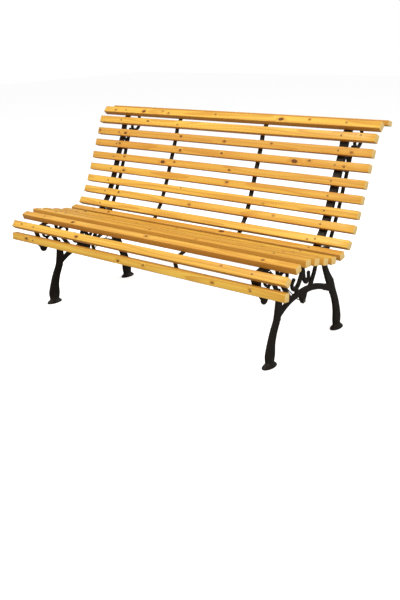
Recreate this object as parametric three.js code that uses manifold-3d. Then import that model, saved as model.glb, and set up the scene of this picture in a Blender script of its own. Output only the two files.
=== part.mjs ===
// Slatted garden bench: two cast iron end frames carry eighteen chamfered wooden
// slats in one S-shaped run, from the rolled top rail over the back and the seat
// down to the front edge. Every slat is bolted to each end frame. Two flat straps
// tie the slats together behind, and a thin tie rod braces each end frame to the seat.
// Millimetres. X runs along the bench, -Y is the front, +Z is up, feet on Z = 0.
import * as THREE from 'three';
import { mergeVertices } from 'three/addons/utils/BufferGeometryUtils.js';
import Module from 'manifold-3d';

// ---- driving dimensions -----------------------------------------------------
const GAP = 0.3; // paint clearance between touching pieces
const Y_SHIFT = -83.504; // applied last, centres the depth of the bench on Y = 0

const SLAT_LENGTH = 1500;
const SLAT_WIDTH = 32;
const SLAT_THICK = 27;
const TOP_REAR_THICK = 20; // the rearmost slat of the top rail is thinner
const SLAT_CHAMFER = 2.6;

// the right end frame: X0 is the inner face, X1 the outer face
const FLANGE_X0 = 588; // the flange the slats lie on
const FLANGE_X1 = 621;
const FLANGE_THICK = 6;
const RIB_X0 = 612; // stiffening rib on the flange, ends at FLANGE_X1
const LEG_X0 = 610.3; // legs, arch, lug and scrolls
const LEG_X1 = 622.7;
const LEG_MID_X = (LEG_X0 + LEG_X1) / 2;
const RUN_HALF = 16.6; // reach of flange and rib either side of a slat centre
const RUN_END_HALF = 17; // the same at the two ends of the run

// depths of the rib behind the slats
const RIB_INSET = 3; // its front edge, sunk in the flange
const RIB_DEPTH_TOP = [19, 14]; // rear and front slat of the top rail
const RIB_DEPTH_BACK = 18;
const RIB_DEPTH_SEAT = 17;
const RIB_REAR_REACH = 6; // how far its back edge passes the first slat's centre
const TOP_AND_BACK_SLATS = 10;

const BOLT_X = 604; // bolt line of each end frame
const BOLT_R = 3.0;
const BOLT_TAIL = 7.5; // shank beyond the flange
const HOLE_R = 3.4;
const FLANGE_HOLE_LENGTH = 12;
const HEAD_R = 4.2;
const HEAD_RIM = 0.7; // heights of the domed head
const HEAD_SHOULDER = 2.3;
const HEAD_TOP = 2.8;
const NUT_R = 5.9;
const NUT_THICK = 5;

const STRAP_WIDTH = 21;
const STRAP_THICK = 4;
const STRAP_HALF = 15; // reach either side of a slat centre
const STRAP_END_HALF = 13;
// the straps lean a little: x where y = z = 0, before Y_SHIFT, and its change per mm
const STRAPS = {
  strap_left: { x: -249.4, perY: -0.0518, perZ: 0.0072 },
  strap_right: { x: 241.6, perY: 0.0017, perZ: -0.0312 },
};

const ROD_R = 2.3;
const ROD_HOLE_R = ROD_R + 0.5;
const ROD_NUT_R = 5.2;
const ROD_NUT_THICK = 4;
const ROD_TAIL = 7; // beyond the outer face of the lug
const ROD_Y = 33; // tie rod hole in the lug under the arch
const ROD_Z = 198;
const ROD_BEND_X = 590;
const ROD_KNUCKLE_R = ROD_R * 1.06; // ball at the bend
const ROD_END_X = 366; // where the tie rod meets the seat
const ROD_END_DEPTH = 4.5; // rod end below the clearance plane of its slat
const TAB = { length: 34, width: 15, thick: 3.4, shift: -12 }; // shift along X

// slat centre y, z and the lean of its wide face in degrees, from top to front
const SLATS = {
  slat_top_rear: [421.8, 829.3, -16.0],
  slat_top_front: [356.0, 824.2, 46.2],
  slat_back_01: [321.7, 783.5, 63.4],
  slat_back_02: [302.1, 730.0, 70.0],
  slat_back_03: [280.0, 677.3, 69.1],
  slat_back_04: [255.1, 619.9, 69.3],
  slat_back_05: [232.4, 565.4, 67.9],
  slat_back_06: [207.9, 512.0, 65.4],
  slat_back_07: [181.9, 463.0, 62.4],
  slat_back_08: [144.7, 411.3, 55.9],
  slat_seat_01: [92.4, 382.4, 16.0],
  slat_seat_02: [30.6, 380.0, -3.0],
  slat_seat_03: [-24.4, 389.9, -12.0],
  slat_seat_04: [-84.5, 403.7, -10.9],
  slat_seat_05: [-141.4, 413.0, -1.6],
  slat_seat_06: [-202.5, 406.4, 17.5],
  slat_front_upper: [-264.0, 376.2, 52.8],
  slat_front_lower: [-272.4, 324.1, 85.4],
};
const ROD_SLAT = 'slat_seat_02';

// end frame members: y, z of the centreline and width
const LEG_MEMBERS = [
  // front leg
  [[-187, 15, 45], [-186, 28, 48], [-185, 47, 53], [-178, 86, 42],
    [-163, 129, 38], [-142, 171, 40], [-131, 214, 42], [-130, 250, 32]],
  // rear leg
  [[294, 15, 43], [293, 28, 45], [292, 47, 50], [287, 86, 40],
    [275, 129, 36], [256, 171, 39], [235, 214, 44], [209, 254, 36]],
  // arch between the legs
  [[-134, 184, 24], [-90, 209, 24], [-47, 225, 25], [0, 234, 26], [43, 237, 28],
    [86, 236, 27], [129, 229, 26], [171, 217, 25], [205, 204, 28], [238, 192, 30]],
];
const SCROLL_MEMBERS = [
  // head of the front leg, reaching up to the ring behind the front slats
  [[-130, 232, 32], [-134, 262, 27], [-143, 287, 21], [-157, 313, 18], [-176, 334, 14]],
  // pointed finial on the front leg
  [[-130, 240, 22], [-126, 268, 11], [-125, 290, 4]],
  // curved brace from the arch to the seat
  [[-52, 228, 20], [-75, 257, 19], [-108, 300, 17], [-134, 342, 16], [-142, 390, 16]],
  // small hook under the seat
  [[-128, 334, 13], [-109, 347, 13], [-87, 345, 13], [-74, 330, 12], [-82, 316, 9]],
  // stem and front hook of the scroll under the seat
  [[31, 352, 25], [28, 326, 24], [14, 292, 22], [-9, 264, 20],
    [-33, 262, 17], [-43, 280, 14], [-32, 297, 11]],
  // rear hook of the same scroll
  [[32, 318, 22], [38, 288, 19], [54, 268, 17], [70, 279, 15], [71, 300, 12]],
  // link from the scroll to the arch
  [[-16, 262, 20], [-6, 238, 22]],
  // strut from the arch to the seat
  [[76, 234, 25], [95, 264, 22], [114, 298, 20], [124, 334, 18], [127, 368, 18]],
  // head of the rear leg, up to the bend of the seat and back
  [[215, 244, 38], [193, 286, 32], [179, 322, 30], [167, 348, 29], [159, 368, 28]],
  // thin rear bar behind the back
  [[190, 298, 22], [194, 326, 20], [204, 353, 18], [214, 374, 17], [240, 420, 17], [266, 472, 17],
    [292, 525, 17], [314, 579, 17], [337, 634, 17], [358, 688, 17], [381, 738, 16]],
  // web tying the rear bar to the bend
  [[150, 370, 26], [180, 366, 26], [209, 364, 22]],
  // rolled volute at the top
  [[419, 803, 9], [440, 799, 12], [449, 777, 14], [445, 752, 14], [429, 734, 14],
    [406, 730, 14], [394, 744, 13], [399, 760, 11], [411, 765, 8]],
  // two curls tying the rear bar to the rib
  [[323, 714, 9], [334, 705, 10], [344, 690, 10], [345, 668, 10]],
  [[305, 662, 9], [316, 654, 10], [335, 648, 10]],
  // curl at the lower front end of the rib
  [[-250, 322, 13], [-245, 302, 14], [-234, 285, 14], [-219, 277, 14],
    [-206, 286, 13], [-197, 306, 10], [-194, 318, 9]],
];
const LONG_SPAN = 22; // members with a longer mean span get one step per span
const END_POINT = 0.6; // blunt point at a member's end, as a share of its half width

// rounded bosses: y, z, radius
const BOSSES = [
  [-219, 277, 20], // lobe on the front curl
  [246, 222, 10], [241, 173, 9], // knuckles on the rear leg
  [191, 204, 10], // under the rear of the arch
  [-128, 172, 9], // knuckle on the front leg
  [-31, 298, 7.5], [71, 301, 8], // hook ends of the scroll
];
const RING = { y: -194, z: 344, outerR: 28.5, innerR: 18.5 };
// lug under the arch: y, z of its outline
const LUG = [
  [4, 234], [11, 214], [18, 199], [25, 189], [33, 185.5], [41, 189], [48, 199], [55, 214], [62, 234],
];

// oval hooves, turned from a profile of radius, z and then stretched in X and Y
const FEET_Y = [-189, 294];
const FOOT_X = 42;
const FOOT_Y = 82;
const FOOT_R = 25;
const FOOT_PROFILE = [[0, 0], [FOOT_R, 0], [FOOT_R, 5], [22.5, 11], [14, 20], [10, 34], [0, 34]];

// ---- materials --------------------------------------------------------------
const wood = () => new THREE.MeshStandardMaterial({
  color: 0xe6b056, roughness: 0.45, metalness: 0,
});
const iron = () => new THREE.MeshStandardMaterial({
  color: 0x1b1917, roughness: 0.5, metalness: 0.3,
});
const steel = () => new THREE.MeshStandardMaterial({
  color: 0x9a9488, roughness: 0.4, metalness: 1,
});

// ---- solids and geometry ----------------------------------------------------
const wasm = await Module();
wasm.setup();

const toSolid = (geometry) => {
  geometry.deleteAttribute('normal');
  geometry.deleteAttribute('uv');
  const merged = mergeVertices(geometry, 1e-4);
  return new wasm.Manifold(new wasm.Mesh({
    numProp: 3,
    vertProperties: new Float32Array(merged.attributes.position.array),
    triVerts: new Uint32Array(merged.index.array),
  }));
};

// mirrored: reflected in X, with the triangles turned to keep facing outwards
const toGeometry = (solid, mirrored = false) => {
  const mesh = solid.getMesh();
  const positions = new Float32Array(mesh.vertProperties);
  const indices = new Uint32Array(mesh.triVerts);
  if (mirrored) {
    for (let i = 0; i < positions.length; i += 3) positions[i] = -positions[i];
    for (let i = 0; i < indices.length; i += 3) {
      [indices[i], indices[i + 1]] = [indices[i + 1], indices[i]];
    }
  }
  const geometry = new THREE.BufferGeometry();
  geometry.setAttribute('position', new THREE.BufferAttribute(positions, 3));
  geometry.setIndex(new THREE.BufferAttribute(indices, 1));
  return geometry;
};

const unite = (solids) => solids.reduce((whole, part) => whole.add(part));
const cut = (solid, holes) => holes.reduce((rest, hole) => rest.subtract(hole), solid);

// a flat plate with its outline given in y, z, from x0 to x1
const plate = (outline, x0, x1) => {
  let points = outline.map(([y, z]) => new THREE.Vector2(y, z));
  if (THREE.ShapeUtils.isClockWise(points)) points = points.reverse();
  const shape = new THREE.Shape(points);
  const geometry = new THREE.ExtrudeGeometry(shape, { depth: x1 - x0, bevelEnabled: false });
  // drawn x, y and depth become y, z and x
  return geometry.applyMatrix4(new THREE.Matrix4().set(
    0, 0, 1, x0,
    1, 0, 0, 0,
    0, 1, 0, 0,
    0, 0, 0, 1,
  ));
};
const legPlate = (outline) => toSolid(plate(outline, LEG_X0, LEG_X1));

const circle = (y, z, radius, sides) => Array.from({ length: sides }, (_, i) => {
  const angle = (i / sides) * Math.PI * 2;
  return [y + radius * Math.cos(angle), z + radius * Math.sin(angle)];
});

const cylinderAlongZ = (radius, length, sides) => (
  new THREE.CylinderGeometry(radius, radius, length, sides).rotateX(Math.PI / 2)
);

// turned about Z from a profile of radius, z
const turned = (profile, sides) => {
  const points = profile.map(([radius, z]) => new THREE.Vector2(radius, z));
  return new THREE.LatheGeometry(points, sides).rotateX(Math.PI / 2);
};

// ---- the run of slats -------------------------------------------------------
// In a slat's own frame y crosses its wide face towards the rear end of the run
// and z points out of its front or upper face. back is the clearance plane behind it.
const slats = Object.entries(SLATS).map(([name, [y, z, degrees]]) => {
  const thick = name === 'slat_top_rear' ? TOP_REAR_THICK : SLAT_THICK;
  return { name, y, z, lean: (degrees * Math.PI) / 180, thick, back: -(thick / 2 + GAP) };
});

const placeAtSlat = (geometry, { y, z, lean }) => geometry.rotateX(lean).translate(0, y, z);

// y, z of a point: across the wide face, and out of the front face
const pointAtSlat = ({ y, z, lean }, across, out) => {
  const cos = Math.cos(lean);
  const sin = Math.sin(lean);
  return [y + across * cos - out * sin, z + across * sin + out * cos];
};

// a line behind all the slats, flat behind each one
const lineBehind = (depth, half, endHalf) => slats.flatMap((slat, i) => {
  const rear = i === 0 ? endHalf : half;
  const front = i === slats.length - 1 ? endHalf : half;
  const out = slat.back - depth;
  return [pointAtSlat(slat, rear, out), pointAtSlat(slat, -front, out)];
});

const bandBehind = (thick, half, endHalf) => [
  ...lineBehind(0, half, endHalf),
  ...lineBehind(thick, half, endHalf).reverse(),
];

// ---- end frame --------------------------------------------------------------
// outline of a member along its centreline, with its own width at each point
const memberOutline = (stations, stepsPerSpan) => {
  // the curve carries y, z and width as its three coordinates
  const points = stations.map((station) => new THREE.Vector3(...station));
  const curve = new THREE.CatmullRomCurve3(points, false, 'centripetal');
  const count = (stations.length - 1) * stepsPerSpan;
  const left = [];
  const right = [];
  for (let i = 0; i <= count; i += 1) {
    const { x: y, y: z, z: width } = curve.getPoint(i / count);
    const tangent = curve.getTangent(i / count);
    const length = Math.hypot(tangent.x, tangent.y);
    const half = width / 2;
    const dirY = tangent.x / length;
    const dirZ = tangent.y / length;
    if (i === 0) left.push([y - dirY * half * END_POINT, z - dirZ * half * END_POINT]);
    left.push([y - dirZ * half, z + dirY * half]);
    right.push([y + dirZ * half, z - dirY * half]);
    if (i === count) left.push([y + dirY * half * END_POINT, z + dirZ * half * END_POINT]);
  }
  return [...left, ...right.reverse()];
};

// tight curls are drawn finer than long bars
const scrollSteps = (stations) => {
  const [startY, startZ] = stations[0];
  const [endY, endZ] = stations.at(-1);
  const meanSpan = Math.hypot(endY - startY, endZ - startZ) / (stations.length - 1);
  return meanSpan > LONG_SPAN ? 1 : 2;
};

const ribDepth = (i) => {
  if (i >= TOP_AND_BACK_SLATS) return RIB_DEPTH_SEAT;
  return RIB_DEPTH_TOP[i] ?? RIB_DEPTH_BACK;
};

const ribSolid = () => {
  const frontEdge = lineBehind(RIB_INSET, RUN_HALF, RUN_END_HALF);
  const backEdge = slats.map((slat, i) => (
    pointAtSlat(slat, i === 0 ? RIB_REAR_REACH : 0, slat.back - ribDepth(i))
  ));
  return toSolid(plate([...frontEdge, ...backEdge.reverse()], RIB_X0, FLANGE_X1));
};

const ringSolid = ({ y, z, outerR, innerR }) => {
  const opening = toSolid(plate(circle(y, z, innerR, 14), LEG_X0 - 1, LEG_X1 + 1));
  return legPlate(circle(y, z, outerR, 16)).subtract(opening);
};

const footSolid = (y) => toSolid(turned(FOOT_PROFILE, 16)
  .scale(FOOT_X / (2 * FOOT_R), FOOT_Y / (2 * FOOT_R), 1)
  .translate(LEG_MID_X, y, 0));

const flangeHole = (slat) => {
  const hole = cylinderAlongZ(HOLE_R, FLANGE_HOLE_LENGTH, 8)
    .translate(BOLT_X, 0, slat.back - FLANGE_THICK / 2);
  return toSolid(placeAtSlat(hole, slat));
};

const rodHole = () => toSolid(new THREE.CylinderGeometry(ROD_HOLE_R, ROD_HOLE_R, 40, 10)
  .rotateZ(Math.PI / 2)
  .translate(LEG_MID_X, ROD_Y, ROD_Z));

const frameSolid = () => {
  const flange = bandBehind(FLANGE_THICK, RUN_HALF, RUN_END_HALF);
  const casting = unite([
    toSolid(plate(flange, FLANGE_X0, FLANGE_X1)),
    ribSolid(),
    ...SCROLL_MEMBERS.map((member) => legPlate(memberOutline(member, scrollSteps(member)))),
    ...LEG_MEMBERS.map((member) => legPlate(memberOutline(member, 1))),
    ...BOSSES.map(([y, z, radius]) => legPlate(circle(y, z, radius, 12))),
    ringSolid(RING),
    legPlate(LUG),
    ...FEET_Y.map(footSolid),
  ]);
  return cut(casting, [...slats.map(flangeHole), rodHole()]);
};

// ---- slat -------------------------------------------------------------------
const slatSection = (thick) => {
  const y = SLAT_WIDTH / 2;
  const z = thick / 2;
  const c = SLAT_CHAMFER;
  return [
    [-y + c, -z], [y - c, -z], [y, -z + c], [y, z - c],
    [y - c, z], [-y + c, z], [-y, z - c], [-y, -z + c],
  ];
};

const slatGeometry = (slat) => {
  const blank = toSolid(plate(slatSection(slat.thick), -SLAT_LENGTH / 2, SLAT_LENGTH / 2));
  const holes = [-BOLT_X, BOLT_X].map((x) => (
    toSolid(cylinderAlongZ(HOLE_R, SLAT_THICK + 8, 8).translate(x, 0, 0))
  ));
  return placeAtSlat(toGeometry(cut(blank, holes)), slat);
};

// ---- bolt with its nut, through slat and flange -----------------------------
const boltGeometry = (x, slat) => {
  const head = slat.thick / 2 + GAP;
  const nutFace = slat.back - FLANGE_THICK - GAP;
  const tail = nutFace - BOLT_TAIL;
  const pin = toSolid(turned([
    [0, tail], [BOLT_R, tail], [BOLT_R, head], [HEAD_R, head],
    [HEAD_R, head + HEAD_RIM], [HEAD_R * 0.6, head + HEAD_SHOULDER], [0, head + HEAD_TOP],
  ], 8));
  const nut = toSolid(cylinderAlongZ(NUT_R, NUT_THICK, 6)
    .translate(0, 0, nutFace - NUT_THICK / 2));
  return placeAtSlat(toGeometry(pin.add(nut)).translate(x, 0, 0), slat);
};

// ---- strap behind the slats -------------------------------------------------
const strapGeometry = ({ x, perY, perZ }) => {
  const outline = bandBehind(STRAP_THICK, STRAP_HALF, STRAP_END_HALF);
  const lean = new THREE.Matrix4().set(
    1, perY, perZ, 0,
    0, 1, 0, 0,
    0, 0, 1, 0,
    0, 0, 0, 1,
  );
  return plate(outline, x - STRAP_WIDTH / 2, x + STRAP_WIDTH / 2).applyMatrix4(lean);
};

// ---- tie rod from the lug to the seat ---------------------------------------
const barSolid = (start, end, radius, sides) => {
  const span = end.clone().sub(start);
  const length = span.length();
  const turn = new THREE.Quaternion()
    .setFromUnitVectors(new THREE.Vector3(0, 1, 0), span.divideScalar(length));
  return toSolid(new THREE.CylinderGeometry(radius, radius, length, sides)
    .applyQuaternion(turn)
    .translate((start.x + end.x) / 2, (start.y + end.y) / 2, (start.z + end.z) / 2));
};

const rodSolid = () => {
  const seat = slats.find(({ name }) => name === ROD_SLAT);
  const inLug = (x) => new THREE.Vector3(x, ROD_Y, ROD_Z);
  const nutFrom = (x) => barSolid(inLug(x), inLug(x + ROD_NUT_THICK), ROD_NUT_R, 6);
  const bend = inLug(ROD_BEND_X);
  const end = new THREE.Vector3(ROD_END_X, ...pointAtSlat(seat, 0, seat.back - ROD_END_DEPTH));
  const tab = new THREE.BoxGeometry(TAB.length, TAB.width, TAB.thick)
    .translate(ROD_END_X + TAB.shift, 0, seat.back - TAB.thick / 2);
  return unite([
    barSolid(bend, inLug(LEG_X1 + ROD_TAIL), ROD_R, 8),
    nutFrom(LEG_X1 + GAP),
    nutFrom(LEG_X0 - GAP - ROD_NUT_THICK),
    barSolid(bend, end, ROD_R, 8),
    toSolid(new THREE.SphereGeometry(ROD_KNUCKLE_R, 8, 6).translate(bend.x, bend.y, bend.z)),
    toSolid(placeAtSlat(tab, seat)),
  ]);
};

// ---- assembly ---------------------------------------------------------------
const group = new THREE.Group();
group.name = 'garden_bench';
const add = (name, geometry, material) => {
  const mesh = new THREE.Mesh(geometry.translate(0, Y_SHIFT, 0), material);
  mesh.name = name;
  group.add(mesh);
};
const addPair = (name, solid, material) => {
  add(`${name}_right`, toGeometry(solid), material());
  add(`${name}_left`, toGeometry(solid, true), material());
};

addPair('end_frame', frameSolid(), iron);
for (const slat of slats) {
  const boltName = slat.name.replace('slat_', 'bolt_');
  add(slat.name, slatGeometry(slat), wood());
  add(`${boltName}_left`, boltGeometry(-BOLT_X, slat), steel());
  add(`${boltName}_right`, boltGeometry(BOLT_X, slat), steel());
}
for (const [name, strap] of Object.entries(STRAPS)) add(name, strapGeometry(strap), iron());
addPair('tie_rod', rodSolid(), steel);

export default group;
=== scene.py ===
"""Slatted garden bench: cast iron end frames, varnished softwood slats, bolts, straps, tie rods.

The bench runs along X, its front faces -Y and it stands on z = 0. Lengths are in mm and are
turned into metres where meshes and matrices are made. Tables hold y before Y_SHIFT is added.
"""
import math
import random
from collections import namedtuple

import bmesh
import bpy
from mathutils import Matrix, Vector


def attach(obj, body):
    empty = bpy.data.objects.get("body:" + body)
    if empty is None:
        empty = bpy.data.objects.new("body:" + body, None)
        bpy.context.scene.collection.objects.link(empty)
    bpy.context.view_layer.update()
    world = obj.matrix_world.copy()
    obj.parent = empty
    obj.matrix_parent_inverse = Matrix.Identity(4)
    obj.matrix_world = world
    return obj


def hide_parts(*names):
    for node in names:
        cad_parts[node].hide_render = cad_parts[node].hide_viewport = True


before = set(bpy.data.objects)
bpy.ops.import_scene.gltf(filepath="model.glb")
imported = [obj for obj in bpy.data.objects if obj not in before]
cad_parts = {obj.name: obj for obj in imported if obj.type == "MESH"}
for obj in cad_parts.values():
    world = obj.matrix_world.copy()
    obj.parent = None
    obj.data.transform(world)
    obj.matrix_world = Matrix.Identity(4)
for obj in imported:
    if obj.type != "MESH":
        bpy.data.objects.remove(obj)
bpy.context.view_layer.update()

MM = 0.001
Y_SHIFT = -83.504
SIDES = (("left", -1), ("right", 1))

# ---------------------------------------------------------------- slat layout
HALF_LENGTH = 750.0
HALF_WIDTH = 16.0
HALF_THICK = 13.5
TOP_REAR_HALF_THICK = 10.0
GAP = 0.3  # between a slat and the iron behind it

# name: centre y, z, lean in degrees, tint 0 to 1,
#       knots (fraction from the left end, offset across, half length, half width, strength)
SLAT_TABLE = {
    "slat_top_rear": (421.8, 829.3, -16.0, 0.55, [
        (0.12, 4, 6, 4, 0.6), (0.44, -6, 5, 4, 0.5), (0.86, 2, 6, 4, 0.6)]),
    "slat_top_front": (356.0, 824.2, 46.2, 0.15, [
        (0.055, -4, 6, 4, 0.7), (0.177, -3, 10, 6, 1.0), (0.258, 5, 5, 4, 0.7),
        (0.287, -5, 5, 4, 0.6), (0.468, 2, 6, 4, 0.7), (0.70, -2, 11, 6, 1.0),
        (0.79, 5, 5, 4, 0.6)]),
    "slat_back_01": (321.7, 783.5, 63.4, 0.1, [
        (0.216, 3, 7, 4, 0.8), (0.336, -5, 5, 3.5, 0.6), (0.955, 6, 5, 3.5, 0.6)]),
    "slat_back_02": (302.1, 730.0, 70.0, 0.75, [
        (0.012, 2, 6, 5, 0.7), (0.13, -3, 9, 5, 0.9), (0.364, 3, 7, 5, 0.8),
        (0.526, -2, 7, 4.5, 0.8), (0.693, 5, 6, 4, 0.7), (0.94, -4, 6, 4, 0.7)]),
    "slat_back_03": (280.0, 677.3, 69.1, 0.7, [
        (0.115, 3, 7, 4.5, 0.8), (0.3725, -3, 7, 5, 0.8), (0.532, 2, 7, 4.5, 0.8),
        (0.78, -1, 13, 7, 1.0), (0.824, 7, 7, 4, 0.8), (0.928, -4, 6, 4, 0.7)]),
    "slat_back_04": (255.1, 619.9, 69.3, 0.6, [
        (0.143, 4, 6, 4, 0.7), (0.313, -1, 11, 6.5, 1.0), (0.358, 5, 6, 4, 0.8),
        (0.567, -4, 7, 4, 0.8)]),
    "slat_back_05": (232.4, 565.4, 67.9, 0.35, [(0.155, -3, 8, 5, 0.9), (0.568, 3, 7, 4.5, 0.8)]),
    "slat_back_06": (207.9, 512.0, 65.4, 0.1, [(0.41, 9, 4, 3, 0.5), (0.71, -8, 4, 3, 0.5)]),
    "slat_back_07": (181.9, 463.0, 62.4, 0.25, [
        (0.163, 3, 7, 4.5, 0.8), (0.454, -4, 6, 4, 0.7), (0.75, 4, 6, 4, 0.4)]),
    "slat_back_08": (144.7, 411.3, 55.9, 0.1, [(0.33, 8, 4, 3, 0.4), (0.88, -7, 4, 3, 0.5)]),
    "slat_seat_01": (92.4, 382.4, 16.0, 0.65, [(0.168, -3, 7, 5, 0.9), (0.618, 2, 12, 6.5, 1.0)]),
    "slat_seat_02": (30.6, 380.0, -3.0, 0.2, [(0.10, 3, 7, 5, 0.8), (0.49, -4, 6, 4, 0.7)]),
    "slat_seat_03": (-24.4, 389.9, -12.0, 0.15, [(0.36, 3, 7, 4, 0.8), (0.81, -3, 7, 5, 0.8)]),
    "slat_seat_04": (-84.5, 403.7, -10.9, 0.2, [(0.08, -3, 7, 4.5, 0.8), (0.77, 4, 6, 4, 0.7)]),
    "slat_seat_05": (-141.4, 413.0, -1.6, 0.25, [
        (0.14, 6, 6, 4, 0.6), (0.49, 4, 6, 4, 0.7), (0.66, -6, 5, 4, 0.6)]),
    "slat_seat_06": (-202.5, 406.4, 17.5, 0.55, [
        (0.223, -2, 9, 6, 1.0), (0.518, 2, 7, 5, 0.8), (0.90, -3, 6, 4, 0.8)]),
    "slat_front_upper": (-264.0, 376.2, 52.8, 0.15, [
        (0.045, 3, 5, 4, 0.5), (0.293, -2, 9, 5, 0.9), (0.81, 7, 5, 3, 0.5)]),
    "slat_front_lower": (-272.4, 324.1, 85.4, 0.1, [
        (0.067, 2, 8, 5, 0.9), (0.462, -3, 7, 5, 0.8), (0.552, 3, 6, 4, 0.7),
        (0.785, -2, 6, 4, 0.7), (0.90, 3, 5, 4, 0.4)]),
}
# back is the offset, along the slat's normal, of the plane the iron bears on
Slat = namedtuple("Slat", "y z lean tint knots half_thick back")
SLATS = {}
for name, row in SLAT_TABLE.items():
    half_thick = TOP_REAR_HALF_THICK if name == "slat_top_rear" else HALF_THICK
    SLATS[name] = Slat(*row, half_thick, -(half_thick + GAP))


def near(slat, across, out):
    """The (y, z) of a point given across a slat's width and out along its normal."""
    lean = math.radians(slat.lean)
    return (slat.y + across * math.cos(lean) - out * math.sin(lean),
            slat.z + across * math.sin(lean) + out * math.cos(lean))


def slat_matrix(slat, x=0.0):
    place = Matrix.Translation((x * MM, (slat.y + Y_SHIFT) * MM, slat.z * MM))
    return place @ Matrix.Rotation(math.radians(slat.lean), 4, "X")


def band_lines(thickness, half, end_half):
    """Near and far (y, z) lines of a band that runs behind every slat, top rear to front lower."""
    face, rear = [], []
    last = len(SLATS) - 1
    for i, slat in enumerate(SLATS.values()):
        for across in (end_half if i == 0 else half, -(end_half if i == last else half)):
            face.append(near(slat, across, slat.back))
            rear.append(near(slat, across, slat.back - thickness))
    return face, rear


# ---------------------------------------------------------------- mesh helpers
def mesh_object(name, verts, faces, material, smooth=True, angle=35.0):
    mesh = bpy.data.meshes.new(name)
    mesh.from_pydata([tuple(c * MM for c in vert) for vert in verts], [], faces)
    mesh.validate()
    work = bmesh.new()
    work.from_mesh(mesh)
    bmesh.ops.recalc_face_normals(work, faces=work.faces)
    work.to_mesh(mesh)
    work.free()
    obj = bpy.data.objects.new(name, mesh)
    bpy.context.collection.objects.link(obj)
    mesh.materials.append(material)
    if smooth:
        mesh.polygons.foreach_set("use_smooth", [True] * len(mesh.polygons))
        mesh.set_sharp_from_angle(angle=math.radians(angle))
    return obj


def register(obj, replaced=None):
    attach(obj, "root")
    if replaced:
        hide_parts(replaced)


def loft(rings, size, caps=True, closed=False):
    """Faces that join consecutive rings of equal size."""
    faces = []
    for i in range(rings if closed else rings - 1):
        here, there = i * size, (i + 1) % rings * size
        for j in range(size):
            k = (j + 1) % size
            faces.append((here + j, here + k, there + k, there + j))
    if caps:
        faces.append(tuple(range(size - 1, -1, -1)))
        faces.append(tuple(range((rings - 1) * size, rings * size)))
    return faces


def lathe(profile, segments):
    """Closed solid of revolution about Z; profile is (radius, height), first and last radius 0."""
    verts, faces, rings = [], [], []
    for radius, height in profile:
        first = len(verts)
        if radius < 1e-6:
            verts.append((0.0, 0.0, height))
        else:
            for i in range(segments):
                angle = 2 * math.pi * i / segments
                verts.append((radius * math.cos(angle), radius * math.sin(angle), height))
        rings.append(range(first, len(verts)))
    for low, high in zip(rings, rings[1:]):
        for i in range(segments):
            j = (i + 1) % segments
            if len(low) == 1 and len(high) > 1:
                faces.append((low[0], high[i], high[j]))
            elif len(high) == 1 and len(low) > 1:
                faces.append((low[i], low[j], high[0]))
            elif len(low) > 1:
                faces.append((low[i], low[j], high[j], high[i]))
    return verts, faces


def raised(profile, base):
    return [(radius, base + height) for radius, height in profile]


def merge(*parts):
    verts, faces = [], []
    for part_verts, part_faces in parts:
        first = len(verts)
        verts += part_verts
        faces += [tuple(i + first for i in face) for face in part_faces]
    return verts, faces


def moved(part, matrix):
    verts, faces = part
    return [tuple(matrix @ Vector(vert)) for vert in verts], faces


def signed_power(value, exponent):
    return math.copysign(abs(value) ** exponent, value)


def catmull(points, per):
    """Centripetal Catmull-Rom curve through points of any dimension, per steps to a span."""
    pts = [list(map(float, point)) for point in points]
    if len(pts) < 3:
        return [[a + (b - a) * i / per for a, b in zip(*pts)] for i in range(per + 1)]

    def mix(first, second, start, end, time):
        weight = (time - start) / (end - start)
        return [a + (b - a) * weight for a, b in zip(first, second)]

    before = [2 * a - b for a, b in zip(pts[0], pts[1])]
    after = [2 * a - b for a, b in zip(pts[-1], pts[-2])]
    extended = [before] + pts + [after]
    out = []
    for k in range(1, len(extended) - 2):
        span = extended[k - 1:k + 3]
        times = [0.0]
        for a, b in zip(span, span[1:]):
            times.append(times[-1] + max(1e-6, math.dist(a, b) ** 0.5))
        for i in range(per):
            time = times[1] + (times[2] - times[1]) * i / per
            lines = [mix(span[j], span[j + 1], times[j], times[j + 1], time) for j in range(3)]
            bends = [mix(lines[j], lines[j + 1], times[j], times[j + 2], time) for j in range(2)]
            out.append(mix(*bends, times[1], times[2], time))
    out.append(pts[-1])
    return out


# ---------------------------------------------------------------- shader helpers
def srgb(*rgb):
    """Linear RGBA from 0 to 255 sRGB."""
    def linear(value):
        value /= 255.0
        return value / 12.92 if value <= 0.04045 else ((value + 0.055) / 1.055) ** 2.4
    return (*map(linear, rgb), 1.0)


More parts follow.
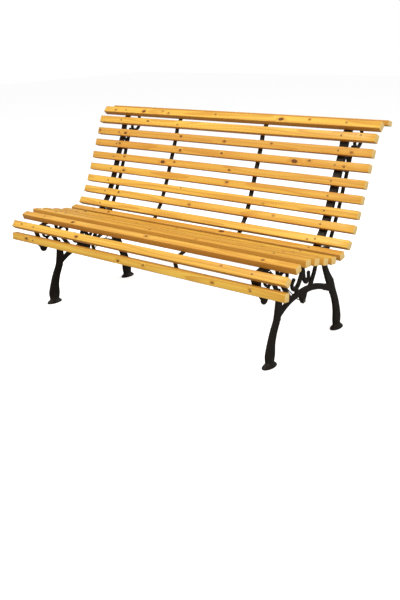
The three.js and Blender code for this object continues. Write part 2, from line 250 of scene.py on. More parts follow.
class Shader:
    """A material with one Principled BSDF, and short calls that add nodes and return sockets."""

    def __init__(self, name):
        self.material = bpy.data.materials.new(name)
        self.material.use_nodes = True
        self.tree = self.material.node_tree
        self.tree.nodes.clear()
        output = self.add("OutputMaterial")
        self.bsdf = self.add("BsdfPrincipled")
        self.tree.links.new(self.bsdf.outputs[0], output.inputs[0])

    def add(self, kind):
        return self.tree.nodes.new("ShaderNode" + kind)

    def put(self, socket, value):
        if isinstance(value, bpy.types.NodeSocket):
            self.tree.links.new(value, socket)
        else:
            socket.default_value = value

    def surface(self, values):
        for key, value in values.items():
            self.put(self.bsdf.inputs[key], value)

    def operate(self, kind, operation, values, output=0):
        node = self.add(kind)
        node.operation = operation
        for socket, value in zip(node.inputs, values):
            self.put(socket, value)
        return node.outputs[output]

    def calc(self, operation, *values):
        return self.operate("Math", operation, values)

    def vector(self, operation, *values, output=0):
        return self.operate("VectorMath", operation, values, output)

    def times(self, first, second):
        return self.calc("MULTIPLY", first, second)

    def plus(self, value, mask, strength):
        return self.calc("ADD", value, self.times(mask, strength))

    def wobble(self, value, noise, amount):
        """Shift value either way by noise centred on zero."""
        return self.plus(value, self.calc("SUBTRACT", noise, 0.5), amount)

    def ramp(self, value, start, end):
        """Smooth step from 0 at start to 1 at end."""
        node = self.add("MapRange")
        node.interpolation_type = "SMOOTHSTEP"
        node.clamp = True
        for socket, item in zip(node.inputs, (value, start, end)):
            self.put(socket, item)
        return node.outputs[0]

    def noise(self, where, scale, detail=2.0, rough=0.5, stretch=None):
        if stretch:
            where = self.vector("MULTIPLY", where, stretch)
        node = self.add("TexNoise")
        self.put(node.inputs["Vector"], where)
        node.inputs["Scale"].default_value = scale
        node.inputs["Detail"].default_value = detail
        node.inputs["Roughness"].default_value = rough
        return node.outputs[0]

    def mix(self, factor, first, second):
        node = self.add("Mix")
        node.data_type = "RGBA"
        for i, value in ((0, factor), (6, first), (7, second)):
            self.put(node.inputs[i], value)
        return node.outputs[2]

    def tint(self, base, colour, mask, strength):
        return self.mix(self.times(mask, strength), base, srgb(*colour))

    def coord(self, kind="Object"):
        return self.add("TexCoord").outputs[kind]

    def split(self, value):
        node = self.add("SeparateXYZ")
        self.put(node.inputs[0], value)
        return node.outputs

    def bump(self, height, strength, distance):
        node = self.add("Bump")
        node.inputs["Strength"].default_value = strength
        node.inputs["Distance"].default_value = distance
        self.put(node.inputs["Height"], height)
        self.tree.links.new(node.outputs[0], self.bsdf.inputs["Normal"])


# ---------------------------------------------------------------- materials
def knot_fields(mat, coord, knots, rnd):
    """Strongest value over all knots of: core, dark ring, halo, and push on the growth rings."""
    x, across, out = mat.split(coord)
    ragged = mat.noise(coord, scale=210.0, rough=0.6, stretch=(1.0, 1.0, 0.6))
    fields = {}
    for fraction, offset, half_long, half_wide, power in knots:
        x_knot = (fraction - 0.5) * 2 * HALF_LENGTH * MM
        skew = rnd.uniform(-0.5, 0.5)  # how far the knot slants through the slat
        along = mat.calc("SUBTRACT", mat.calc("SUBTRACT", x, x_knot), mat.times(out, skew))
        along = mat.calc("DIVIDE", along, half_long * MM)
        aside = mat.calc("DIVIDE", mat.calc("SUBTRACT", across, offset * MM), half_wide * MM)
        squares = mat.calc("ADD", mat.times(along, along), mat.times(aside, aside))
        # 1 on the knot's outline
        dist = mat.wobble(mat.calc("SQRT", squares), ragged, amount=0.95)
        core = mat.times(mat.ramp(dist, start=1.05, end=0.75), power)
        ring = mat.times(mat.ramp(dist, start=0.55, end=0.9), mat.ramp(dist, start=1.3, end=0.95))
        ring = mat.times(ring, power)
        halo = mat.times(mat.ramp(dist, start=2.3, end=0.8), power)
        push = mat.times(mat.ramp(dist, start=3.4, end=0.4), 0.0052 * power)
        for key, field in (("core", core), ("ring", ring), ("halo", halo), ("push", push)):
            old = fields.get(key)
            fields[key] = field if old is None else mat.calc("MAXIMUM", old, field)
    return across, out, fields


def wood(name, tint, knots, seed):
    mat = Shader(name)
    rnd = random.Random(seed)
    coord = mat.coord()
    across, out, fields = knot_fields(mat, coord, knots, rnd)

    # growth rings about a pith that lies outside the slat
    side = rnd.choice((-1, 1))
    pith = (0.0, rnd.uniform(-0.012, 0.012), -side * rnd.uniform(0.03, 0.06))
    shift = tuple(rnd.uniform(-5, 5) for _ in range(3))
    shifted = mat.vector("ADD", coord, shift)
    radial = mat.vector("MULTIPLY", mat.vector("SUBTRACT", coord, pith), (0.0, 1.0, 1.0))
    radial = mat.vector("LENGTH", radial, output=1)
    slow = mat.noise(shifted, scale=1.6, detail=1.0, stretch=(1.0, 9.0, 9.0))
    quick = mat.noise(shifted, scale=1.0, detail=1.0, stretch=(2.2, 60.0, 60.0))
    radial = mat.wobble(radial, slow, amount=0.024)
    radial = mat.wobble(radial, quick, amount=0.0012)
    radial = mat.calc("ADD", radial, fields["push"])
    ring_pitch = rnd.uniform(0.0042, 0.0058)
    saw = mat.calc("FRACT", mat.calc("DIVIDE", radial, ring_pitch))
    late = mat.times(mat.ramp(saw, start=0.35, end=0.9), mat.ramp(saw, start=1.0, end=0.93))

    # fine fibre and slow colour drift along the slat
    fibre = mat.noise(shifted, scale=1.0, rough=0.55, stretch=(2.6, 460.0, 460.0))
    streak = mat.noise(shifted, scale=1.0, stretch=(1.6, 70.0, 70.0))
    drift = mat.noise(shifted, scale=1.0, stretch=(1.4, 12.0, 12.0))
    yellow, orange = srgb(244, 197, 84), srgb(214, 155, 70)
    base = mat.mix(tint, yellow, orange)
    for colour, strength, mask, start, end in (
        ((224, 162, 62), 0.48, drift, 0.38, 0.68),
        ((200, 130, 46), 0.36, streak, 0.42, 0.72),
        ((194, 122, 40), 0.46, late, None, None),
        ((190, 116, 40), 0.14, fibre, 0.55, 0.8),
        ((255, 214, 104), 0.14, fibre, 0.42, 0.2),
    ):
        if start is not None:
            mask = mat.ramp(mask, start, end)
        base = mat.tint(base, colour, mask, strength)

    # painted shade: darker arrises, standing in for the shadowed lines between slats, then darker
    # narrow sides, standing in for the shade in the gaps; ramps are in metres from the slat's
    # centre
    far_across, far_out = mat.calc("ABSOLUTE", across), mat.calc("ABSOLUTE", out)
    arris_shade = mat.times(mat.ramp(far_across, start=0.0128, end=0.0158),
                     mat.ramp(far_out, start=0.0105, end=0.0133))
    # painted shade along the arrises
    base = mat.tint(base, (160, 92, 30), arris_shade, strength=0.55)
    # painted shade on the narrow sides, which face into the gaps between slats
    side_shade = mat.ramp(far_across, start=0.0150, end=0.0159)
    base = mat.tint(base, (166, 98, 34), side_shade, strength=0.42)

    # cut ends are paler, with the rings showing as arcs
    normal = mat.split(mat.coord("Normal"))
    cut = mat.ramp(mat.calc("ABSOLUTE", normal[0]), start=0.55, end=0.85)
    pores = mat.noise(shifted, scale=1.0, rough=0.7, stretch=(40.0, 900.0, 900.0))
    cut_colour = mat.tint(srgb(255, 220, 142), (226, 166, 88), late, strength=0.45)
    pore_mask = mat.ramp(pores, start=0.5, end=0.75)
    cut_colour = mat.tint(cut_colour, (190, 130, 74), pore_mask, strength=0.18)
    base = mat.mix(cut, base, cut_colour)

    base = mat.tint(base, (184, 106, 34), fields["halo"], strength=0.48)
    base = mat.tint(base, (104, 50, 16), fields["core"], strength=0.92)
    base = mat.tint(base, (56, 28, 10), fields["ring"], strength=0.8)
    rough = mat.plus(0.36, fibre, strength=0.16)
    rough = mat.plus(rough, cut, strength=0.25)
    mat.surface({
        "Base Color": base,
        "Roughness": rough,
        "Coat Weight": 0.07,
        "Coat Roughness": 0.18,
        "Specular IOR Level": 0.26,
        "Specular Tint": (1.0, 0.88, 0.66, 1.0),
    })
    late_height, ring_depth = 0.55, 0.8
    height = mat.plus(mat.times(late, late_height), fibre, strength=0.45)
    height = mat.calc("SUBTRACT", height, mat.times(fields["ring"], ring_depth))
    mat.bump(height, strength=0.13, distance=0.0005)
    return mat.material


def iron(name, body, worn_colour, coarse):
    """Dark paint over a grainy casting, rubbed lighter on raised edges."""
    mat = Shader(name)
    coord = mat.coord()
    big = mat.noise(coord, scale=14.0, detail=3.0, rough=0.55)
    mid = mat.noise(coord, scale=95.0, detail=4.0, rough=0.6)
    grain = mat.noise(coord, scale=620.0, detail=3.0, rough=0.65)
    pits = mat.noise(coord, scale=260.0)
    base = mat.mix(mat.ramp(big, start=0.4, end=0.7), srgb(*body), srgb(22, 18, 15))
    base = mat.tint(base, (32, 26, 21), mat.ramp(mid, start=0.52, end=0.72), strength=0.35)
    base = mat.tint(base, (12, 10, 9), mat.ramp(pits, start=0.62, end=0.78), strength=0.5)
    worn = mat.ramp(mat.add("NewGeometry").outputs["Pointiness"], start=0.52, end=0.60)
    worn = mat.times(worn, mat.ramp(mid, start=0.3, end=0.6))
    base = mat.tint(base, worn_colour, worn, strength=0.55)
    mat.surface({
        "Base Color": base,
        "Roughness": mat.plus(0.36, mid, strength=0.26),
        "Metallic": 0.0,
        "Specular IOR Level": 0.24,
        "Specular Tint": (1.0, 0.85, 0.70, 1.0),
    })
    grain_height = 0.5
    height = mat.plus(mat.times(grain, grain_height), mid, strength=0.9 * coarse)
    mat.bump(height, strength=0.30, distance=0.0006)
    return mat.material


def metal(name, light, dark, metallic, rough):
    mat = Shader(name)
    coord = mat.coord()
    big = mat.noise(coord, scale=130.0, detail=3.0, rough=0.6)
    fine = mat.noise(coord, scale=900.0, rough=0.6)
    base = mat.mix(mat.ramp(big, start=0.35, end=0.65), srgb(*light), srgb(*dark))
    speck = tuple(int(c * 0.55) for c in light)
    base = mat.tint(base, speck, mat.ramp(fine, start=0.55, end=0.75), strength=0.3)
    mat.surface({
        "Base Color": base,
        "Roughness": mat.plus(rough, big, strength=0.2),
        "Metallic": metallic,
    })
    mat.bump(fine, strength=0.15, distance=0.0003)
    return mat.material


IRON = iron("cast_iron_painted", body=(17, 13, 10), worn_colour=(54, 46, 40), coarse=1.0)
STRAP = iron("strap_painted", body=(14, 12, 11), worn_colour=(50, 44, 38), coarse=0.4)
BOLT = metal("bolt_passivated", light=(186, 142, 84), dark=(142, 108, 66), metallic=0.6, rough=0.42)
ZINC = metal("zinc_dulled", light=(122, 114, 98), dark=(92, 86, 74), metallic=0.55, rough=0.46)

# ---------------------------------------------------------------- slats
CORNER_RADIUS = 3.0
CORNER_STEPS = 4
BODY_STEPS = 24
# distance from the end, inset of the section there
END_EASING = [(0.0, 1.3), (0.4, 0.6), (1.3, 0.0)]


def slat_section(half_thick, inset):
    wide, high = HALF_WIDTH - inset, half_thick - inset
    radius = max(0.4, CORNER_RADIUS - inset * 0.5)
    points = []
    for quarter, (right, top) in enumerate(((1, 1), (-1, 1), (-1, -1), (1, -1))):
        for i in range(CORNER_STEPS + 1):
            angle = math.radians(90 * quarter + 90.0 * i / CORNER_STEPS)
            points.append((right * (wide - radius) + radius * math.cos(angle),
                           top * (high - radius) + radius * math.sin(angle)))
    return points


def slat_mesh(seed, half_thick):
    rnd = random.Random(seed)
    ease = END_EASING[-1][0]
    body = 2 * HALF_LENGTH - 2 * ease
    stations = [(-HALF_LENGTH + run, inset) for run, inset in END_EASING]
    stations += [(-HALF_LENGTH + ease + body * i / BODY_STEPS, 0.0) for i in range(1, BODY_STEPS)]
    stations += [(HALF_LENGTH - run, inset) for run, inset in reversed(END_EASING)]
    phase_across, phase_out = rnd.uniform(0, 6), rnd.uniform(0, 6)
    verts = []
    for x, inset in stations:
        # the slat is very slightly bowed both ways
        bow_across = 0.25 * math.sin(x / 210.0 + phase_across)
        bow_out = 0.12 * math.sin(x / 160.0 + phase_out)
        verts += [(x, across + bow_across, out + bow_out)
                  for across, out in slat_section(half_thick, inset)]
    return verts, loft(len(stations), 4 * (CORNER_STEPS + 1))


for i, (name, slat) in enumerate(SLATS.items()):
    material = wood("wood_" + name[5:], slat.tint, slat.knots, seed=11 + 7 * i)
    mesh = slat_mesh(31 + i, slat.half_thick)
    obj = mesh_object("visual_" + name, *mesh, material, angle=50)
    obj.matrix_world = slat_matrix(slat)
    register(obj, name)

# ---------------------------------------------------------------- end frames
CAST_X = (610.3, 622.7)
CAST_MID = (CAST_X[0] + CAST_X[1]) / 2
CAST_HALF = (CAST_X[1] - CAST_X[0]) / 2
FLANGE_X = (588.0, 621.0)
FLANGE_THICK = 6.0
RIB_X = (611.5, 620.5)

# centrelines of the cast bars: y, z, width in the plane of the frame
LEG_MEMBERS = [
    [(-187, 15, 50), (-186, 28, 56), (-185, 47, 61), (-178, 86, 50), (-163, 129, 43),
     (-142, 171, 40), (-131, 214, 42), (-130, 250, 32)],
    [(294, 15, 48), (293, 28, 53), (292, 47, 58), (287, 86, 49), (275, 129, 42),
     (256, 171, 39), (235, 214, 44), (209, 254, 36)],
    [(-134, 184, 24), (-90, 209, 24), (-47, 225, 25), (0, 234, 26), (43, 237, 28),
     (86, 236, 27), (129, 229, 26), (171, 217, 25), (205, 204, 28), (238, 192, 30)],
]
SCROLL_MEMBERS = [
    [(-130, 232, 32), (-134, 262, 27), (-143, 287, 21), (-157, 313, 18), (-176, 334, 14)],
    [(-130, 240, 22), (-126, 268, 11), (-125, 290, 4)],
    [(-52, 228, 20), (-75, 257, 19), (-108, 300, 17), (-134, 342, 16), (-142, 390, 16)],
    [(-128, 334, 13), (-109, 347, 13), (-87, 345, 13), (-74, 330, 12), (-82, 316, 9)],
    [(31, 352, 25), (28, 326, 24), (14, 292, 22), (-9, 264, 20), (-33, 262, 17),
     (-43, 280, 14), (-32, 297, 11)],
    [(32, 318, 22), (38, 288, 19), (54, 268, 17), (70, 279, 15), (71, 300, 12)],
    [(-16, 262, 20), (-6, 238, 22)],
    [(76, 234, 25), (95, 264, 22), (114, 298, 20), (124, 334, 18), (127, 368, 18)],
    [(215, 244, 38), (193, 286, 32), (179, 322, 30), (167, 348, 29), (159, 368, 28)],
    [(190, 298, 22), (194, 326, 20), (204, 353, 18), (214, 374, 17), (240, 420, 17),
     (266, 472, 17), (292, 525, 17), (314, 579, 17), (337, 634, 17), (358, 688, 17),
     (381, 738, 16)],
    [(150, 370, 26), (180, 366, 26), (209, 364, 22)],
    [(419, 803, 9), (440, 799, 12), (449, 777, 14), (445, 752, 14), (429, 734, 14),
     (406, 730, 14), (394, 744, 13), (399, 760, 11), (411, 765, 8)],
    [(323, 714, 9), (334, 705, 10), (344, 690, 10), (345, 668, 10)],
    [(305, 662, 9), (316, 654, 10), (335, 648, 10)],
    [(-250, 322, 13), (-245, 302, 14), (-234, 285, 14), (-219, 277, 14), (-206, 286, 13),
     (-197, 306, 10), (-194, 318, 9)],
]
# y, z, radius
BOSSES = [(-219, 277, 20), (246, 222, 10), (241, 173, 9), (191, 204, 10), (-128, 172, 9),
          (-31, 298, 7.5), (71, 301, 8)]
# fractions of the boss radius and of half the casting's thickness, one face to the middle
BOSS_PROFILE = [(0, 1), (0.55, 0.97), (0.8, 0.86), (0.94, 0.6), (1, 0.2)]
RING_Y, RING_Z, RING_OUTER, RING_INNER = -194.0, 344.0, 28.5, 18.5
# y, z outline of the lug that takes the tie rod
LUG = [(4, 234), (11, 214), (18, 199), (25, 189), (33, 185.5), (41, 189), (48, 199), (55, 214),
       (62, 234)]
LUG_INSET = 1.0

FEET_Y = (-189.0, 294.0)
FOOT_WIDTH, FOOT_LENGTH, FOOT_PROFILE_WIDTH = 42, 82, 50
# radius, height: flat sole, rounded rim, then the sweep up into the ankle
FOOT_PROFILE = [
    (0, 0.2), (23.2, 0.2), (24.6, 1.4), (25.0, 3.4), (24.4, 6.0), (22.4, 9.0), (19.2, 12.4),
    (16.2, 16.5), (13.6, 22), (11.6, 29), (10.0, 37), (0, 40)]

# rounding rings beyond a bar's end, outermost first:
# run past the end over half width, fraction of half width, fraction of half depth
BAR_CAP = [(0.6, 0.45, 0.55), (0.35, 0.82, 0.9)]


def bar(points, per=6, power=3.2, ring_size=20, closed=False):
    """A cast bar: a superellipse section swept along a centreline in the plane of the frame."""
    path = catmull(points, per)
    if closed:
        path = path[:-1]
    last = len(path) - 1
    verts = []
    for i, (y, z, width) in enumerate(path):
        if closed:
            ahead, behind = path[(i + 1) % len(path)], path[i - 1]
        else:
            ahead, behind = path[min(i + 1, last)], path[max(i - 1, 0)]
        run_y, run_z = ahead[0] - behind[0], ahead[1] - behind[1]
        length = math.hypot(run_y, run_z)
        run_y, run_z = run_y / length, run_z / length
        half = width / 2
        rings = [(0.0, 1.0, 1.0)]
        if not closed and i == 0:
            rings = [(-run, wide, deep) for run, wide, deep in BAR_CAP] + rings
        if not closed and i == last:
            rings += BAR_CAP[::-1]
        for run, wide, deep in rings:
            y_mid, z_mid = y + run_y * half * run, z + run_z * half * run
            for k in range(ring_size):
                angle = 2 * math.pi * k / ring_size
                aside = signed_power(math.cos(angle), 2 / power) * (half * wide)
                depth = signed_power(math.sin(angle), 2 / power) * (CAST_HALF * deep)
                verts.append((CAST_MID + depth, y_mid - run_z * aside + Y_SHIFT,
                              z_mid + run_y * aside))
    return verts, loft(len(verts) // ring_size, ring_size, caps=not closed, closed=closed)


def boss(y, z, radius):
    """A round boss across the thickness of the casting, domed on both faces."""
    half = [(radius * wide, CAST_HALF * high) for wide, high in BOSS_PROFILE]
    profile = half + [(wide, -high) for wide, high in reversed(half)]
    verts, faces = lathe(profile, 28)
    return [(CAST_MID + c, y + a + Y_SHIFT, z + b) for a, b, c in verts], faces


def ring():
    middle = (RING_OUTER + RING_INNER) / 2
    circle = []
    for i in range(17):
        angle = 2 * math.pi * i / 16
        circle.append((RING_Y + middle * math.cos(angle), RING_Z + middle * math.sin(angle),
                       RING_OUTER - RING_INNER))
    return bar(circle, per=3, closed=True)


def strip(face, rear, x_range):
    """A band between two (y, z) lines, quad by quad, so it stays clean where it bends."""
    x_in, x_out = x_range
    verts = []
    for (a, b), (c, d) in zip(face, rear):
        verts += [(x_in, a + Y_SHIFT, b), (x_out, a + Y_SHIFT, b),
                  (x_out, c + Y_SHIFT, d), (x_in, c + Y_SHIFT, d)]
    faces = loft(len(face), 4, caps=False)
    end = len(verts) - 4
    faces += [(0, 1, 2, 3), (end + 3, end + 2, end + 1, end)]
    return verts, faces


def rib():
    """The rib behind the flange, which it enters by a few millimetres."""
    face, rear = [], []
    last = len(SLATS) - 1
    for i, slat in enumerate(SLATS.values()):
        depth = 19.0 if i == 0 else 14.0 if i == 1 else 18.0 if i < 10 else 17.0
        face.append(near(slat, 15 if i == 0 else 0, slat.back - 2.0))
        rear.append(near(slat, 6 if i == 0 else 0, slat.back - depth))
        if i == last:
            face.append(near(slat, -15, slat.back - 2.0))
            rear.append(near(slat, -15, slat.back - depth + 6))
    return strip(face, rear, RIB_X)


def lug():
    verts = [(x, y + Y_SHIFT, z) for x in (CAST_X[0] + LUG_INSET, CAST_X[1] - LUG_INSET)
             for y, z in LUG]
    return verts, loft(2, len(LUG))


def foot(y):
    verts, faces = lathe(FOOT_PROFILE, 40)
    verts = [(a * FOOT_WIDTH / FOOT_PROFILE_WIDTH + CAST_MID,
              b * FOOT_LENGTH / FOOT_PROFILE_WIDTH + y + Y_SHIFT, c) for a, b, c in verts]
    return verts, faces


def right_casting():
    """All members fused into one skin and softened."""
    parts = [strip(*band_lines(FLANGE_THICK, half=16.6, end_half=17.0), FLANGE_X), rib()]
    parts += [bar(points) for points in SCROLL_MEMBERS]
    parts += [bar(points, power=4.2, ring_size=28) for points in LEG_MEMBERS]
    parts += [boss(*row) for row in BOSSES]
    parts += [ring(), lug()]
    parts += [foot(y) for y in FEET_Y]
    obj = mesh_object("casting_right", *merge(*parts), IRON, smooth=False)
    remesh = obj.modifiers.new("remesh", "REMESH")
    remesh.mode = "VOXEL"
    remesh.voxel_size = 1.9 * MM
    remesh.adaptivity = 0.0
    soften = obj.modifiers.new("soften", "SMOOTH")
    soften.iterations = 2
    soften.factor = 0.5
    graph = bpy.context.evaluated_depsgraph_get()
    mesh = bpy.data.meshes.new_from_object(obj.evaluated_get(graph))
    rough_mesh = obj.data
    obj.modifiers.clear()
    obj.data = mesh
    bpy.data.meshes.remove(rough_mesh)
    mesh.materials.clear()
    mesh.materials.append(IRON)
    mesh.polygons.foreach_set("use_smooth", [True] * len(mesh.polygons))
    # flatten the soles onto the ground
    for vert in mesh.vertices:
        if vert.co.z < 0.0004:
            vert.co.z = 0.0
    return obj


def mirrored_casting(source):
    mesh = source.data.copy()
    mesh.name = "casting_left"
    work = bmesh.new()
    work.from_mesh(mesh)
    for vert in work.verts:
        vert.co.x = -vert.co.x
    bmesh.ops.reverse_faces(work, faces=work.faces)
    work.to_mesh(mesh)
    work.free()
    obj = bpy.data.objects.new("casting_left", mesh)
    bpy.context.collection.objects.link(obj)
    return obj


right = right_casting()
left = mirrored_casting(right)
register(right, "end_frame_right")
register(left, "end_frame_left")

# ---------------------------------------------------------------- bolts
BOLT_X = 604.0
WASHER_THICK = 1.1
NUT_HEIGHT = 4.6
NUT_FLATS = 10.0
SHANK_RADIUS = 2.9
# radius, height above the slat
BOLT_HEAD = [(0, 2.7), (1.4, 2.62), (2.7, 2.3), (3.4, 1.75), (4.0, 1.05), (4.2, 0.45), (4.1, 0),
             (0, 0)]
# radius, height from the underside of the flange
BOLT_WASHER = [(0, 0), (5.9, 0), (6.1, -0.25), (6.1, -0.9), (5.9, -WASHER_THICK),
               (0, -WASHER_THICK)]
BOLT_THREAD = [(0, 0), (SHANK_RADIUS, 0), (3.15, -0.25), (SHANK_RADIUS, -0.5), (0, -0.5)]


def hex_nut(top):
    """Hexagon nut with chamfered corners, from top down."""
    radius = NUT_FLATS / 2 / math.cos(math.pi / 6)
    low = top - NUT_HEIGHT
    return lathe([(0, top), (radius * 0.86, top), (radius, top - 0.5), (radius, low + 0.5),
                  (radius * 0.86, low), (0, low)], 6)


def bolt_mesh(slat):
    top = slat.half_thick + GAP * 0.4
    under = slat.back - FLANGE_THICK - 0.15
    nut_top = under - WASHER_THICK
    thread_top = nut_top - NUT_HEIGHT - 0.2
    shank = [(0, top), (SHANK_RADIUS, top), (SHANK_RADIUS, under - 7.0), (2.3, under - 7.6),
             (0, under - 7.6)]
    return merge(
        lathe(raised(BOLT_HEAD, top), 24),
        lathe(shank, 18),
        lathe(raised(BOLT_WASHER, under), 24),
        hex_nut(nut_top),
        *(lathe(raised(BOLT_THREAD, thread_top - 0.6 * k), 18) for k in range(3)))


for i, (name, slat) in enumerate(SLATS.items()):
    part = bolt_mesh(slat)
    for side, sign in SIDES:
        obj = mesh_object("fastener_%s_%s" % (name[5:], side), *part, BOLT, angle=40)
        turn = Matrix.Rotation(0.7 * i + sign, 4, "Z")
        obj.matrix_world = slat_matrix(slat, sign * BOLT_X) @ turn
        register(obj, "bolt_%s_%s" % (name[5:], side))

# ---------------------------------------------------------------- straps behind the slats
# straps lean a little: x where y = z = 0, then the change per mm of y and of z
STRAP_AT = {"left": (-249.4, -0.0518, 0.0072), "right": (241.6, 0.0017, -0.0312)}
STRAP_THICK = 4.0
STRAP_HALF_WIDTH = 10.5
STRAP_FLAT = STRAP_HALF_WIDTH - 0.9  # half width inside the chamfers
# offset in x, fraction of the thickness
STRAP_SECTION = [
    (-STRAP_FLAT, 0.0), (STRAP_FLAT, 0.0), (STRAP_HALF_WIDTH, 0.22), (STRAP_HALF_WIDTH, 0.78),
    (STRAP_FLAT, 1.0), (-STRAP_FLAT, 1.0), (-STRAP_HALF_WIDTH, 0.78), (-STRAP_HALF_WIDTH, 0.22)]
# radius, height from the strap's far face, with a recess in the head
STRAP_SCREW = [(0, 0), (4.2, 0), (4.5, -0.5), (4.3, -1.3), (3.4, -2.1), (2.0, -2.5),
               (1.1, -2.55), (0.9, -1.5), (0, -1.4)]


def strap_x(side, y, z):
    x, per_y, per_z = STRAP_AT[side]
    return x + per_y * y + per_z * z


def soft(line):
    """Replace each bend by a short chord."""
    out = [line[0]]
    for start, end in zip(line, line[1:]):
        for part in (0.12, 0.88):
            out.append(tuple(a + (b - a) * part for a, b in zip(start, end)))
    return out + [line[-1]]


def strap_mesh(side):
    face, rear = map(soft, band_lines(STRAP_THICK, half=15.0, end_half=13.0))
    verts = []
    for (face_y, face_z), (rear_y, rear_z) in zip(face, rear):
        for offset, part in STRAP_SECTION:
            y = face_y + (rear_y - face_y) * part
            z = face_z + (rear_z - face_z) * part
            verts.append((strap_x(side, y, z) + offset, y + Y_SHIFT, z))
    return verts, loft(len(face), len(STRAP_SECTION))


for side, sign in SIDES:
    obj = mesh_object("flat_strap_" + side, *strap_mesh(side), STRAP, angle=30)
    register(obj, "strap_" + side)
    for i, (name, slat) in enumerate(SLATS.items()):
        head = lathe(STRAP_SCREW, 20)
        obj = mesh_object("strap_screw_%s_%s" % (name[5:], side), *head, BOLT, angle=40)
        depth = slat.back - STRAP_THICK
        place = slat_matrix(slat, strap_x(side, *near(slat, 0, depth)))
        sink = Matrix.Translation((0, 0, depth * MM))
        obj.matrix_world = place @ sink @ Matrix.Rotation(0.9 * i, 4, "Z")
        register(obj)

# ---------------------------------------------------------------- tie rods
# Each rod runs from the lug of an end frame to a flat eye under the second seat slat.
ROD_SLAT = SLATS["slat_seat_02"]
LUG_Y, LUG_Z = 33.0, 198.0
ROD_TIP_X, ROD_BEND_X, ROD_END_X = 629.6, 591, 366.0
ROD_RADIUS = 2.25
EYE_TOP = ROD_SLAT.back - 0.1
EYE_UNDER = ROD_SLAT.back - 3.3
# radius, height from the face of the lug
ROD_WASHER = [(0, 0), (6.0, 0), (6.2, 0.25), (6.2, 0.75), (6.0, 1.0), (0, 1.0)]
ROD_NUT = [(0, 1.0), (4.6, 1.0), (5.2, 1.5), (5.2, 3.9), (4.6, 4.4), (0, 4.4)]
ROD_THREAD = [(0, 0), (2.2, 0), (2.5, 0.3), (2.2, 0.6), (0, 0.6)]
# radius, height from the underside of the eye
BRACE_SCREW = [(0, 0), (4.6, 0), (4.9, -0.5), (4.6, -1.4), (3.6, -2.2), (2.0, -2.6),
               (1.1, -2.65), (0.9, -1.6), (0, -1.5)]


def tube(path, radius, ring_size=16):
    verts = []
    for i, point in enumerate(path):
        run = path[min(i + 1, len(path) - 1)] - path[max(i - 1, 0)]
        run.normalize()
        first = run.cross(Vector((0, 1, 0))).normalized()
        second = first.cross(run).normalized()
        for k in range(ring_size):
            angle = 2 * math.pi * k / ring_size
            spoke = first * math.cos(angle) + second * math.sin(angle)
            verts.append(tuple(point + spoke * radius))
    return verts, loft(len(path), ring_size)


def rod_path():
    end_y, end_z = near(ROD_SLAT, 0, ROD_SLAT.back - 4.5)
    tip = Vector((ROD_TIP_X, LUG_Y + Y_SHIFT, LUG_Z))
    bend = Vector((ROD_BEND_X, LUG_Y + Y_SHIFT, LUG_Z))
    end = Vector((ROD_END_X, end_y + Y_SHIFT, end_z))
    enter = tip.lerp(bend, 0.86)
    leave = bend + (end - bend).normalized() * 6
    path = [tip, tip.lerp(bend, 0.5), enter]
    for k in range(1, 6):
        t = k / 6
        path.append(enter * (1 - t) ** 2 + bend * 2 * t * (1 - t) + leave * t * t)
    return path + [leave.lerp(end, k / 8) for k in range(9)]


def eye():
    outline = []
    for k in range(28):
        angle = 2 * math.pi * k / 28
        outline.append((ROD_END_X - 12 + signed_power(math.cos(angle), 0.7) * 17,
                        signed_power(math.sin(angle), 0.8) * 7.4))
    verts = []
    for out in (EYE_TOP, EYE_UNDER):
        for x, across in outline:
            y, z = near(ROD_SLAT, across, out)
            verts.append((x, y + Y_SHIFT, z))
    return verts, loft(2, len(outline))


def rod_mesh():
    def on_axis(x, way=1):
        place = Matrix.Translation((x, LUG_Y + Y_SHIFT, LUG_Z))
        return place @ Matrix.Rotation(way * math.pi / 2, 4, "Y")

    parts = [tube(rod_path(), ROD_RADIUS)]
    for x, way in ((CAST_X[1] + 0.1, 1), (CAST_X[0] - 0.1, -1)):
        parts.append(moved(lathe(ROD_WASHER, 28), on_axis(x, way)))
        parts.append(moved(lathe(ROD_NUT, 6), on_axis(x, way)))
    for k in range(3):
        parts.append(moved(lathe(ROD_THREAD, 16), on_axis(ROD_TIP_X - 0.8 - 0.85 * k)))
    parts.append(eye())
    return merge(*parts)


rod_verts, rod_faces = rod_mesh()
for side, sign in reversed(SIDES):
    verts = [(sign * x, y, z) for x, y, z in rod_verts]
    obj = mesh_object("brace_rod_" + side, verts, rod_faces, ZINC, angle=35)
    register(obj, "tie_rod_" + side)
    obj = mesh_object("brace_screw_" + side, *lathe(BRACE_SCREW, 20), BOLT, angle=40)
    sink = Matrix.Translation((0, 0, EYE_UNDER * MM))
    obj.matrix_world = slat_matrix(ROD_SLAT, sign * (ROD_END_X - 20)) @ sink
    register(obj)

# ---------------------------------------------------------------- floor and world
FLOOR_HALF = 14  # metres


def build_floor():
    """A pale floor that looks brighter to the camera than to the rest of the scene."""
    mesh = bpy.data.meshes.new("floor")
    corners = [(x * FLOOR_HALF, y * FLOOR_HALF, 0) for x, y in ((-1, -1), (1, -1), (1, 1), (-1, 1))]
    mesh.from_pydata(corners, [], [(0, 1, 2, 3)])
    floor = bpy.data.objects.new("floor", mesh)
    bpy.context.collection.objects.link(floor)
    mat = Shader("floor_pale")
    seen = mat.add("LightPath").outputs["Is Camera Ray"]
    glow = 0.60
    unseen_colour, seen_colour = (0.34, 0.33, 0.31, 1.0), (0.80, 0.80, 0.80, 1.0)
    mat.surface({
        "Roughness": 0.95,
        "Specular IOR Level": 0.1,
        "Emission Color": (1, 1, 1, 1),
        "Emission Strength": mat.times(seen, glow),
        "Base Color": mat.mix(seen, unseen_colour, seen_colour),
    })
    mesh.materials.append(mat.material)


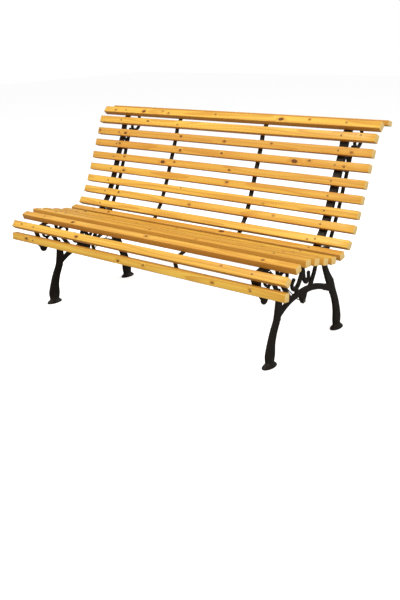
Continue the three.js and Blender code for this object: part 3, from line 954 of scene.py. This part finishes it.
def build_world():
    """White surroundings, dimmer as a light than as a backdrop."""
    world = bpy.data.worlds.new("studio")
    bpy.context.scene.world = world
    world.use_nodes = True
    tree = world.node_tree
    background = tree.nodes["Background"]
    background.inputs["Color"].default_value = (1.0, 1.0, 1.0, 1)
    seen = tree.nodes.new("ShaderNodeLightPath")
    level = tree.nodes.new("ShaderNodeMapRange")
    level.inputs["To Min"].default_value = 0.46
    level.inputs["To Max"].default_value = 1.0
    tree.links.new(seen.outputs["Is Camera Ray"], level.inputs["Value"])
    tree.links.new(level.outputs[0], background.inputs["Strength"])


build_floor()
build_world()


# ---------------------------------------------------------------- lights, in metres and watts
def area(name, where, target, size, power):
    light = bpy.data.lights.new(name, "AREA")
    light.shape = "DISK"
    light.size = size
    light.energy = power
    obj = bpy.data.objects.new(name, light)
    bpy.context.collection.objects.link(obj)
    obj.location = where
    aim = Vector(target) - Vector(where)
    obj.rotation_euler = aim.to_track_quat("-Z", "Y").to_euler()


area("key", where=(-0.8, -2.4, 3.8), target=(0, 0, 0.4), size=2.0, power=130)
area("fill", where=(3.4, -1.2, 1.7), target=(0.3, 0, 0.5), size=2.2, power=42)
area("rim", where=(0.6, 3.2, 2.6), target=(0, 0, 0.5), size=2.4, power=44)

# ---------------------------------------------------------------- camera
CAMERA_AT = Vector((2122.3168, -2318.0844 + Y_SHIFT, 1206.266))
YAW, PITCH, ROLL = 0.7114, 0.3446, -0.0344  # radians; yaw turns left from +Y, pitch looks down
LENS = 45.91911


def build_camera():
    camera = bpy.data.cameras.new("camera")
    obj = bpy.data.objects.new("camera", camera)
    bpy.context.collection.objects.link(obj)
    forward = Vector((-math.sin(YAW) * math.cos(PITCH), math.cos(YAW) * math.cos(PITCH),
                      -math.sin(PITCH)))
    level_right = Vector((math.cos(YAW), math.sin(YAW), 0.0))
    level_up = level_right.cross(forward)
    right_axis = level_right * math.cos(ROLL) + level_up * math.sin(ROLL)
    up_axis = -level_right * math.sin(ROLL) + level_up * math.cos(ROLL)
    matrix = Matrix((right_axis, up_axis, -forward)).transposed().to_4x4()
    matrix.translation = CAMERA_AT * MM
    obj.matrix_world = matrix
    camera.sensor_width = 36.0
    camera.lens = LENS
    camera.clip_end = 100.0
    bpy.context.scene.camera = obj


build_camera()
bpy.context.scene.view_settings.view_transform = "Standard"
bpy.context.scene.view_settings.look = "None"
